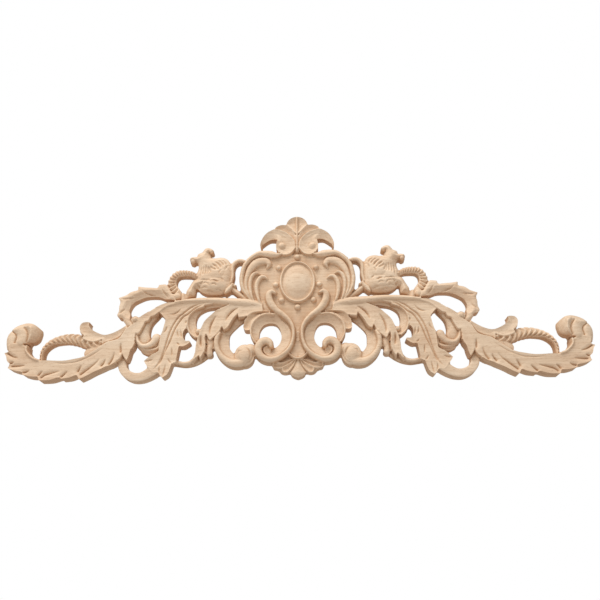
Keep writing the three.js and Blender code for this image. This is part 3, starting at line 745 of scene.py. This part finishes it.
def bud_cuts(relief):
    """Flutes and small cuts on the bud."""
    flutes = [
        [(93, 19), (89.6, 16), (85.4, 14.2)],
        [(91.4, 21.8), (86.9, 18.5), (82.8, 13.3)],
        [(88.8, 24.7), (84.3, 21.5), (80.8, 16.5)],
        [(85.4, 26), (81.3, 23.5), (78, 18.9)],
        [(81.6, 26.8), (78, 24.5), (75.1, 20.3)],
        [(103.9, 6.6), (103.3, 12.7), (102.2, 19.6)],
        [(100.6, 8.4), (100.4, 13.6), (99.8, 19.7)],
        [(97.3, 9.9), (97.7, 15.1), (97.1, 20.5)],
        [(94.5, 10.5), (95.3, 15.1), (94.8, 19.4)],
        [(91.6, 11.2), (93.5, 15), (92.9, 18.4)],
    ]
    for points in flutes:
        relief.groove(points, depth=1.9, half=1.5, taper=0.25)
    cuts = [
        [(81.8, 5.4), (77.6, 1.9)],
        [(77, 13.7), (75.6, 17.8), (73.8, 20.3), (71.6, 20)],
        [(82.9, 8.8), (82.8, 12.3), (80.3, 14.3)],
        [(105.1, 0.6), (102.3, -0.7), (100.1, 1.5), (98.8, 3.3)],
        [(96.5, 3.7), (93, 2.4), (91.4, 0.6)],
        [(90, 2.1), (87.2, 2.1), (84, 0.7), (81.7, 2)],
        [(104.7, 1.3), (101, 3.4), (96.4, 2.6), (93.2, 0.6)],
        [(100.8, -1.3), (97.5, 0), (94.7, -1.7), (93.3, -4.7)],
        [(92.5, 0.6), (88.7, 2.2), (85.6, 0.8), (83.7, -1.2)],
        [(102.1, -5.9), (98.4, -4.6), (94.4, -6.7)],
        [(91.5, -3.4), (87.7, -2.2), (84.6, -4.6)],
        [(97.4, -9.3), (92.8, -8.9), (88.2, -10.6)],
        [(86.8, -8.2), (83, -7.6), (79.4, -9.6)],
        [(106.9, -1.2), (104.5, -3.2), (103.6, -6.2)],
    ]
    for points in cuts:
        relief.groove(points, depth=1.3, half=1.2)


def upper_loop(relief):
    """Roped loop from the bud down to the wing."""
    loop = [
        (108.2, 9.2, 2.8), (112.6, 12.3, 3.4), (117.4, 13.4, 3.9), (122.6, 13.7, 4.1), (127.7, 13, 4.4),
        (131.7, 9.9, 4.6), (133.7, 5.4, 4.8), (134, -0.5, 5.2), (131.5, -5.6, 5.2), (127.7, -10.1, 4.8),
    ]
    ribs = rope_ribs(pitch_start=2.4, pitch_end=4.6, length=58, bend=2, depth=3, plain=(-0.9, -0.9))
    relief.sweep("round", ROPE, loop, ribs=ribs)
    relief.sweep("soft", (8, 10), [(121.5, -11, 1.6), (121, -17, 3)])
    relief.dome(127.2, -13.8, half=(4.2, 4.2), heights=(9, 13))


# The motifs in carving order: a cut or a sunk form goes into all that was carved before it
MOTIFS = (
    cartouche, inner_scroll, arm, toothed_leaf, curled_leaf, middle_scroll, wing_end, lower_loop,
    lower_scroll, middle_leaf, inner_leaf, wing_leaf, wing_rim, small_curl, palmette, shell, bud,
    bud_cuts, upper_loop,
)


def carve():
    """The whole relief of one half, motif by motif, with its edges made even."""
    relief = Relief()
    for motif in MOTIFS:
        motif(relief)
    relief.height = np.where(relief.cover > 0, relief.height, relief.edge)
    relief.cover = close_slits(relief.cover, SLIT_PASSES)
    relief.height = blur(relief.height, SMOOTH_PASSES)
    return relief


def neighbours(field, axis):
    """The field moved one step each way, mirrored at its borders."""
    wide = np.pad(field, [(1, 1) if axis == k else (0, 0) for k in (0, 1)], mode="reflect")
    size = field.shape[axis]
    return np.take(wide, range(size), axis), np.take(wide, range(2, size + 2), axis)


def blur(field, passes):
    """Even blur by repeated neighbour averages."""
    for _ in range(passes):
        for axis in (0, 1):
            field = 0.5 * field + 0.25 * sum(neighbours(field, axis))
    return field


def close_slits(field, passes):
    """Fills slits narrower than twice the number of passes in cells."""
    for pick in (np.maximum, np.minimum):
        for _ in range(passes):
            for axis in (0, 1):
                before, after = neighbours(field, axis)
                field = pick(field, pick(before, after))
    return field


def sample(field, u, z):
    """The field's value at places between the grid's points."""
    x = np.clip(u / CELL, 0, field.shape[1] - BORDER)
    y = np.clip((z - Z_LOW) / CELL, 0, field.shape[0] - BORDER)
    i, k = x.astype(int), y.astype(int)
    fx, fy = x - i, y - k
    top = field[k + 1, i] * (1 - fx) + field[k + 1, i + 1] * fx
    bottom = field[k, i] * (1 - fx) + field[k, i + 1] * fx
    return bottom * (1 - fy) + top * fy


def fitted_grid(relief):
    """The outline's field, the grid points on the outline, and the grid with those moved onto it."""
    cover = blur(relief.cover, SMOOTH_PASSES)
    slope_z, slope_u = np.gradient(cover, CELL)
    slope_u[:, 0] = 0
    steep = np.maximum(np.hypot(slope_u, slope_z), LEAST_SLOPE)
    gap = cover / steep
    on = np.abs(gap) < 0.5 * CELL
    shift_u = np.where(on, -gap * slope_u / steep, 0)
    shift_z = np.where(on, -gap * slope_z / steep, 0)
    shift_u[:, 0] = 0
    gu, gz = np.meshgrid(relief.u, relief.z)
    return cover, on, np.clip(gu + shift_u, 0, None), gz + shift_z


def face_triangles(cover, on, gu, gz, height):
    """Triangles over the wood: cells cut along the flatter diagonal, and part cells at the outline."""
    number = np.arange(gu.size).reshape(gu.shape)
    corners = (number[:-1, :-1], number[:-1, 1:], number[1:, 1:], number[1:, :-1])
    a, b, c, d = (m.ravel() for m in corners)
    kept = (on | (cover > 0)).ravel()
    whole = kept[a] & kept[b] & kept[c] & kept[d]
    first = np.abs(height[a] - height[c]) <= np.abs(height[b] - height[d])
    halves = ((a, b, c, first), (a, c, d, first), (a, b, d, ~first), (b, c, d, ~first))
    faces = [np.column_stack([p, q, r])[whole & way] for p, q, r, way in halves]
    for p, q, r, s in ((a, b, c, d), (b, c, d, a), (c, d, a, b), (d, a, b, c)):
        faces.append(np.column_stack([p, q, r])[kept[p] & kept[q] & kept[r] & ~kept[s]])
    faces = np.vstack(faces)
    centre_u = gu.ravel()[faces].mean(1)
    centre_z = gz.ravel()[faces].mean(1)
    outside = on.ravel()[faces].all(1) & (sample(cover, centre_u, centre_z) < 0)
    return faces[~outside]


def half_shell(relief):
    """Points and triangles of one half: the carved face, the flat back and the walls between them."""
    cover, on, gu, gz = fitted_grid(relief)
    height = sample(relief.height, gu.ravel(), gz.ravel())
    faces = face_triangles(cover, on, gu, gz, height)
    used = np.unique(faces)
    faces = np.searchsorted(used, faces)
    face_points = np.column_stack([gu.ravel()[used], -height[used], gz.ravel()[used]])
    back_points = face_points * (1, 0, 1)
    back = len(used)
    edges = np.vstack([faces[:, (0, 1)], faces[:, (1, 2)], faces[:, (2, 0)]])
    _, index, count = np.unique(np.sort(edges, 1) @ (back, 1), return_index=True, return_counts=True)
    rim = edges[index[count == 1]]
    rim = rim[~(face_points[rim][:, :, 0] == 0).all(1)]
    start, stop = rim.T
    walls = np.vstack([
        np.column_stack([stop, start, start + back]),
        np.column_stack([stop, start + back, stop + back]),
    ])
    return np.vstack([face_points, back_points]), np.vstack([faces, faces[:, ::-1] + back, walls])


def both_halves(points, triangles):
    """A half and its mirror image, joined along the middle."""
    side = points[:, 0] != 0
    mirror = np.arange(len(points))
    mirror[side] = len(points) + np.arange(side.sum())
    all_points = np.vstack([points, points[side] * (-1, 1, 1)])
    return all_points, np.vstack([triangles, mirror[triangles][:, ::-1]])


def mark_hollow_shade_and_dust(mesh, relief):
    """Stores, from 0 to 1, how far each face point lies below or above its surroundings, for painted
    shade and dust in hollows.
    """
    place = np.empty(len(mesh.vertices) * 3)
    mesh.vertices.foreach_get("co", place)
    place = place.reshape(-1, 3) / MM
    depth = blur(relief.height, HOLLOW_PASSES) - relief.height
    found = sample(depth, np.abs(place[:, 0]), place[:, 2])
    shown = 0.5 + np.clip(found, -HOLLOW_DEPTH, HOLLOW_DEPTH) / (2 * HOLLOW_DEPTH)
    value = np.where(place[:, 1] < FACE_FROM, shown, 0.5)
    mesh.attributes.new("hollow", "FLOAT", "POINT").data.foreach_set("value", value)


def mark_wall_shade(mesh):
    """Stores how steeply each facet stands to the face: walls and cut edges get painted shade."""
    normal = np.empty(len(mesh.polygons) * 3)
    mesh.polygons.foreach_get("normal", normal)
    facing = np.abs(normal.reshape(-1, 3)[:, 1])
    steep = np.clip((WALL_SHADE_FROM - facing) / WALL_SHADE_SPAN, 0, 1)
    mesh.attributes.new("wall_shade", "FLOAT", "FACE").data.foreach_set("value", steep)


def new_mesh(points, triangles):
    """A mesh in metres from points in millimetres."""
    mesh = bpy.data.meshes.new("carved_relief")
    mesh.vertices.add(len(points))
    mesh.vertices.foreach_set("co", (points * MM).ravel())
    mesh.loops.add(triangles.size)
    mesh.loops.foreach_set("vertex_index", triangles.ravel())
    mesh.polygons.add(len(triangles))
    mesh.polygons.foreach_set("loop_start", np.arange(0, triangles.size, 3))
    mesh.update(calc_edges=True)
    mesh.validate()
    return mesh


def carved_mesh(relief):
    """The finished piece: the relief as a mesh, thinned out, with what the wood needs to know."""
    points, triangles = both_halves(*half_shell(relief))
    piece = bpy.data.objects.new("carved_relief", new_mesh(points, triangles))
    bpy.context.collection.objects.link(piece)
    thin = piece.modifiers.new("thin", "DECIMATE")
    thin.ratio = TRIANGLE_BUDGET / len(triangles)
    evaluated = piece.evaluated_get(bpy.context.evaluated_depsgraph_get())
    thinned = bpy.data.meshes.new_from_object(evaluated)
    piece.modifiers.clear()
    piece.data = thinned
    # Values for the painted shade: in hollows, with dust, and on steep walls
    mark_hollow_shade_and_dust(thinned, relief)
    mark_wall_shade(thinned)
    thinned.shade_smooth()
    thinned.set_sharp_from_angle(angle=SHARP_ANGLE)
    return piece


# Colours of the raw wood, as linear values
LIGHT_TONE = (0.86, 0.67, 0.49)
MIDDLE_TONE = (0.81, 0.61, 0.43)
SHADE_TONE = (0.75, 0.54, 0.37)
UNCHANGED = (1, 1, 1)

# Colours that the tone is multiplied by, as (position, colour) stops
RING_STOPS = [(0.0, (0.86, 0.8, 0.74)), (0.3, (0.97, 0.95, 0.93)), (1.0, UNCHANGED)]
STREAK_STOPS = [(0.38, (0.84, 0.78, 0.72)), (0.55, UNCHANGED), (0.75, (1.04, 1.03, 1.0))]
PORE_STOPS = [(0.3, (0.62, 0.5, 0.42)), (0.4, UNCHANGED)]
# Painted shade on walls and cut edges, by how steeply they stand
WALL_SHADE_STOPS = [(0.0, UNCHANGED), (1.0, (0.84, 0.74, 0.65))]
# Painted shade and dust in hollows, a little lighter on raised places
DUST_AND_HOLLOW_SHADE_STOPS = [
    (0.25, (1.06, 1.07, 1.08)),
    (0.5, UNCHANGED),
    (0.75, (0.76, 0.66, 0.56)),
    (1.0, (0.55, 0.44, 0.35)),
]


class Shading:
    """The nodes of one material, with short ways to add textures and blends."""

    def __init__(self, material):
        material.use_nodes = True
        self.nodes = material.node_tree.nodes
        self.links = material.node_tree.links
        self.shader = self.nodes["Principled BSDF"]
        self.place = self.nodes.new("ShaderNodeTexCoord").outputs["Object"]

    def stretched(self, scale):
        """Places on the object, with a scale for each axis."""
        mapping = self.nodes.new("ShaderNodeMapping")
        mapping.inputs["Scale"].default_value = scale
        self.links.new(self.place, mapping.inputs["Vector"])
        return mapping.outputs["Vector"]

    def noise(self, scale, detail):
        """Noise with a scale for each axis."""
        texture = self.nodes.new("ShaderNodeTexNoise")
        texture.inputs["Scale"].default_value = 1.0
        texture.inputs["Detail"].default_value = detail
        self.links.new(self.stretched(scale), texture.inputs["Vector"])
        return texture.outputs["Fac"]

    def growth_layers(self):
        """Wavy bands through the thickness of the board."""
        layers = self.nodes.new("ShaderNodeTexWave")
        layers.wave_type = "BANDS"
        layers.bands_direction = "Y"
        layers.inputs["Scale"].default_value = 1.0
        layers.inputs["Distortion"].default_value = 3.2
        layers.inputs["Detail"].default_value = 2.0
        layers.inputs["Detail Scale"].default_value = 0.6
        self.links.new(self.stretched((10, 190, 55)), layers.inputs["Vector"])
        return layers.outputs["Fac"]

    def stored(self, name):
        """A value stored on the mesh."""
        attribute = self.nodes.new("ShaderNodeAttribute")
        attribute.attribute_name = name
        return attribute.outputs["Fac"]

    def ramp(self, source, stops):
        """Colours that follow a value, from (position, colour) stops."""
        blend = self.nodes.new("ShaderNodeValToRGB")
        elements = blend.color_ramp.elements
        while len(elements) < len(stops):
            elements.new(0.5)
        for element, (position, colour) in zip(elements, stops):
            element.position = position
            element.color = (*colour, 1)
        self.links.new(source, blend.inputs["Fac"])
        return blend.outputs["Color"]

    def multiply(self, first, second, amount):
        """The first colour, darkened by the second as far as the amount says."""
        mix = self.nodes.new("ShaderNodeMix")
        mix.data_type = "RGBA"
        mix.blend_type = "MULTIPLY"
        mix.inputs["Factor"].default_value = amount
        self.links.new(first, mix.inputs["A"])
        self.links.new(second, mix.inputs["B"])
        return mix.outputs["Result"]

    def raise_surface(self, source, strength, distance):
        """Fine relief on the surface."""
        bump = self.nodes.new("ShaderNodeBump")
        bump.inputs["Strength"].default_value = strength
        bump.inputs["Distance"].default_value = distance
        self.links.new(source, bump.inputs["Height"])
        self.links.new(bump.outputs["Normal"], self.shader.inputs["Normal"])


def wood():
    """Pale raw wood: growth layers, streaks along the length, short pores, painted shade and dust in
    hollows, painted shade on walls.
    """
    material = bpy.data.materials.new("raw_wood")
    look = Shading(material)
    look.shader.inputs["Roughness"].default_value = 0.72
    look.shader.inputs["Specular IOR Level"].default_value = 0.25
    tones = [(0.3, SHADE_TONE), (0.52, MIDDLE_TONE), (0.72, LIGHT_TONE)]
    colour = look.ramp(look.noise((9, 30, 60), detail=3), tones)
    pores = look.noise((260, 2600, 2600), detail=2)
    layers = (
        (look.growth_layers(), RING_STOPS, 0.15),
        (look.noise((28, 500, 500), detail=3), STREAK_STOPS, 0.6),
        (pores, PORE_STOPS, 0.8),
        # The next two layers paint shade: in hollows, with dust, and on steep walls
        (look.stored("hollow"), DUST_AND_HOLLOW_SHADE_STOPS, 0.85),
        (look.stored("wall_shade"), WALL_SHADE_STOPS, 1.0),
    )
    for source, stops, amount in layers:
        colour = look.multiply(colour, look.ramp(source, stops), amount)
    look.links.new(colour, look.shader.inputs["Base Color"])
    look.raise_surface(pores, strength=0.25, distance=0.3 * MM)
    return material


relief = carve()
piece = carved_mesh(relief)
piece.data.materials.append(wood())
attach(piece, "root")
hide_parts("carved_applique")


# The camera looks up at the carving from below, at a small turn and roll
TARGET = Vector((2.6, -13.0, -21.26)) * MM
DISTANCE = 717.7 * MM
PITCH = math.radians(22.0)
YAW = math.radians(0.98)
ROLL_ANGLE = math.radians(-0.515)
IMAGE_WIDTH = 600
FOCAL_PIXELS = 686.0
SENSOR = 36.0

# The studio, in metres: a soft key light, a pale floor, and surroundings whiter than they light
KEY_PLACE = Vector((-0.4, -0.85, 1.25))
KEY_AIM = Vector((0, 0, -0.02))
KEY_SIZE = 0.9
KEY_POWER = 19
FLOOR_REACH = 2.0
FLOOR_LEVEL = -0.45
FLOOR_COLOUR = (0.6, 0.6, 0.6, 1)
SURROUND_LIGHT = 0.6
SURROUND_SHOWN = 1.0


def photo_camera():
    """The camera at the photograph's viewing angle."""
    data = bpy.data.cameras.new("photo_camera")
    data.sensor_width = SENSOR
    data.lens = SENSOR * FOCAL_PIXELS / IMAGE_WIDTH
    camera = bpy.data.objects.new("photo_camera", data)
    bpy.context.collection.objects.link(camera)
    turn = Matrix.Rotation(YAW, 3, "Z") @ Matrix.Rotation(PITCH, 3, "X")
    right, forward, up = turn.col
    across = right * math.cos(ROLL_ANGLE) + up * math.sin(ROLL_ANGLE)
    upright = up * math.cos(ROLL_ANGLE) - right * math.sin(ROLL_ANGLE)
    pose = Matrix((across, upright, -forward)).transposed().to_4x4()
    pose.translation = TARGET - DISTANCE * forward
    camera.matrix_world = pose
    bpy.context.scene.camera = camera


def key_light():
    """One large soft light from above, in front and to the left."""
    data = bpy.data.lights.new("key", "AREA")
    data.size = KEY_SIZE
    data.energy = KEY_POWER
    lamp = bpy.data.objects.new("key", data)
    bpy.context.collection.objects.link(lamp)
    lamp.location = KEY_PLACE
    lamp.rotation_euler = (KEY_AIM - KEY_PLACE).to_track_quat("-Z", "Y").to_euler()


def surroundings():
    """Even white all round, weaker as light than as the backdrop."""
    world = bpy.data.worlds.new("studio")
    bpy.context.scene.world = world
    world.use_nodes = True
    nodes, links = world.node_tree.nodes, world.node_tree.links
    background = nodes["Background"]
    background.inputs["Color"].default_value = (1, 1, 1, 1)
    path = nodes.new("ShaderNodeLightPath")
    level = nodes.new("ShaderNodeMapRange")
    level.inputs["To Min"].default_value = SURROUND_LIGHT
    level.inputs["To Max"].default_value = SURROUND_SHOWN
    links.new(path.outputs["Is Camera Ray"], level.inputs["Value"])
    links.new(level.outputs["Result"], background.inputs["Strength"])


def pale_floor():
    """A plain sheet well below the piece."""
    mesh = bpy.data.meshes.new("floor")
    signs = ((-1, -1), (1, -1), (1, 1), (-1, 1))
    corners = [(x * FLOOR_REACH, y * FLOOR_REACH, FLOOR_LEVEL) for x, y in signs]
    mesh.from_pydata(corners, [], [(0, 1, 2, 3)])
    floor = bpy.data.objects.new("floor", mesh)
    bpy.context.collection.objects.link(floor)
    pale = bpy.data.materials.new("pale_floor")
    pale.use_nodes = True
    pale.node_tree.nodes["Principled BSDF"].inputs["Base Color"].default_value = FLOOR_COLOUR
    mesh.materials.append(pale)


photo_camera()
key_light()
surroundings()
pale_floor()
bpy.context.scene.view_settings.view_transform = "Standard"
